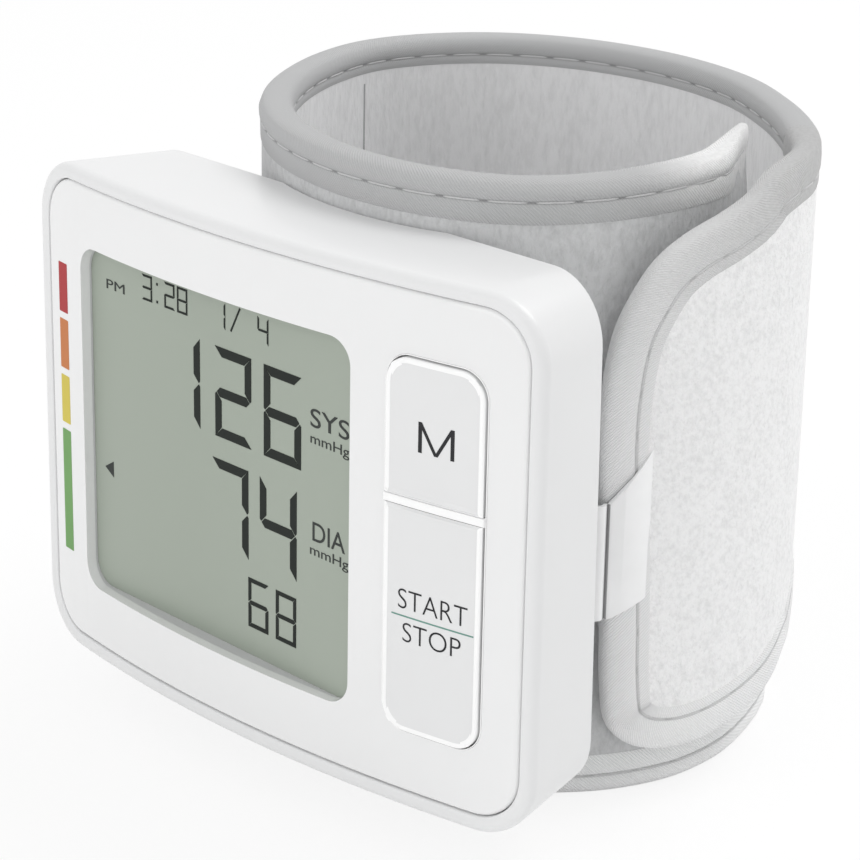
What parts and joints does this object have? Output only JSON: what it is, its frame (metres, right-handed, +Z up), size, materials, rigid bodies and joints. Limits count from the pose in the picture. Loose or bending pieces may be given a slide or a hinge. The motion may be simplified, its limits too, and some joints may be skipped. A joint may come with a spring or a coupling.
{
  "type": "wrist blood pressure monitor",
  "caption": "Wrist blood pressure monitor: slim white case with a recessed display and long keys, on a wrap-round grey cloth cuff with bound edges and a pull-tab flap.",
  "frame": {"origin": "middle of the footprint, on the level that the lower rim of the cuff stands on", "axes": "+X to the right of someone reading the display, +Y from the display into the cuff, +Z up along the cuff"},
  "size_m": [0.083, 0.082, 0.0727],
  "materials": {
    "case_white": "gloss",
    "display_glass": "satin",
    "inner_white": "matte",
    "board_green": "satin",
    "dark_plastic": "matte",
    "cell_foil": "satin",
    "plated_metal": "satin",
    "clear_film": "satin",
    "cuff_grey": "brushed fleece",
    "lining_grey": "soft knit",
    "tape_grey": "twill tape",
    "flap_white": "loop fleece",
    "hook_white": "hook tape",
    "ribbon_white": "satin ribbon"
  },
  "bodies": {
    "case": {"front_shell": "case_white", "fascia": "case_white", "display_panel": "display_glass", "display_tray": "inner_white", "circuit_board": "board_green", "memory_switch": "dark_plastic", "start_stop_switch": "dark_plastic", "battery_cell": "cell_foil", "charging_socket": "plated_metal", "pressure_sensor": "dark_plastic", "pump_motor": "plated_metal", "pump_head": "dark_plastic", "air_manifold": "inner_white", "release_valve": "dark_plastic", "back_cover": "case_white", "cover_screw_1": "plated_metal", "cover_screw_2": "plated_metal", "cover_screw_3": "plated_metal", "cover_screw_4": "plated_metal", "cuff_cloth": "cuff_grey", "cuff_former": "inner_white", "air_bladder": "clear_film", "cuff_lining": "lining_grey", "top_binding": "tape_grey", "lower_binding": "tape_grey"},
    "memory_button": {"memory_button": "case_white"},
    "start_stop_button": {"start_stop_button": "case_white"},
    "crank": {"pump_crank": "inner_white"},
    "plunger": {"valve_plunger": "plated_metal"},
    "flap": {"flap": "flap_white", "flap_binding": "tape_grey", "hook_patch": "hook_white", "pull_tab": "ribbon_white"}
  },
  "joints": [
    {"name": "memory_button_press", "type": "slide", "parent": "case", "child": "memory_button", "axis": [0, 1, 0], "range_m": [0, 0.0005], "stiffness_N_per_m": 2000},
    {"name": "start_stop_button_press", "type": "slide", "parent": "case", "child": "start_stop_button", "axis": [0, 1, 0], "range_m": [0, 0.0005], "stiffness_N_per_m": 2000},
    {"name": "flap_opening", "type": "hinge", "parent": "case", "child": "flap", "pos_m": [0.03329, 0.01669, 0.04], "axis": [0, 0, 1], "range_deg": [0, 80]},
    {"name": "pump_crank_turn", "type": "hinge", "parent": "case", "child": "crank", "pos_m": [-0.01137, -0.02985, 0.0139], "axis": [1, 0, 0], "continuous": true},
    {"name": "valve_plunger_stroke", "type": "slide", "parent": "case", "child": "plunger", "axis": [-1, 0, 0], "range_m": [0, 0.0006], "stiffness_N_per_m": 150}
  ]
}
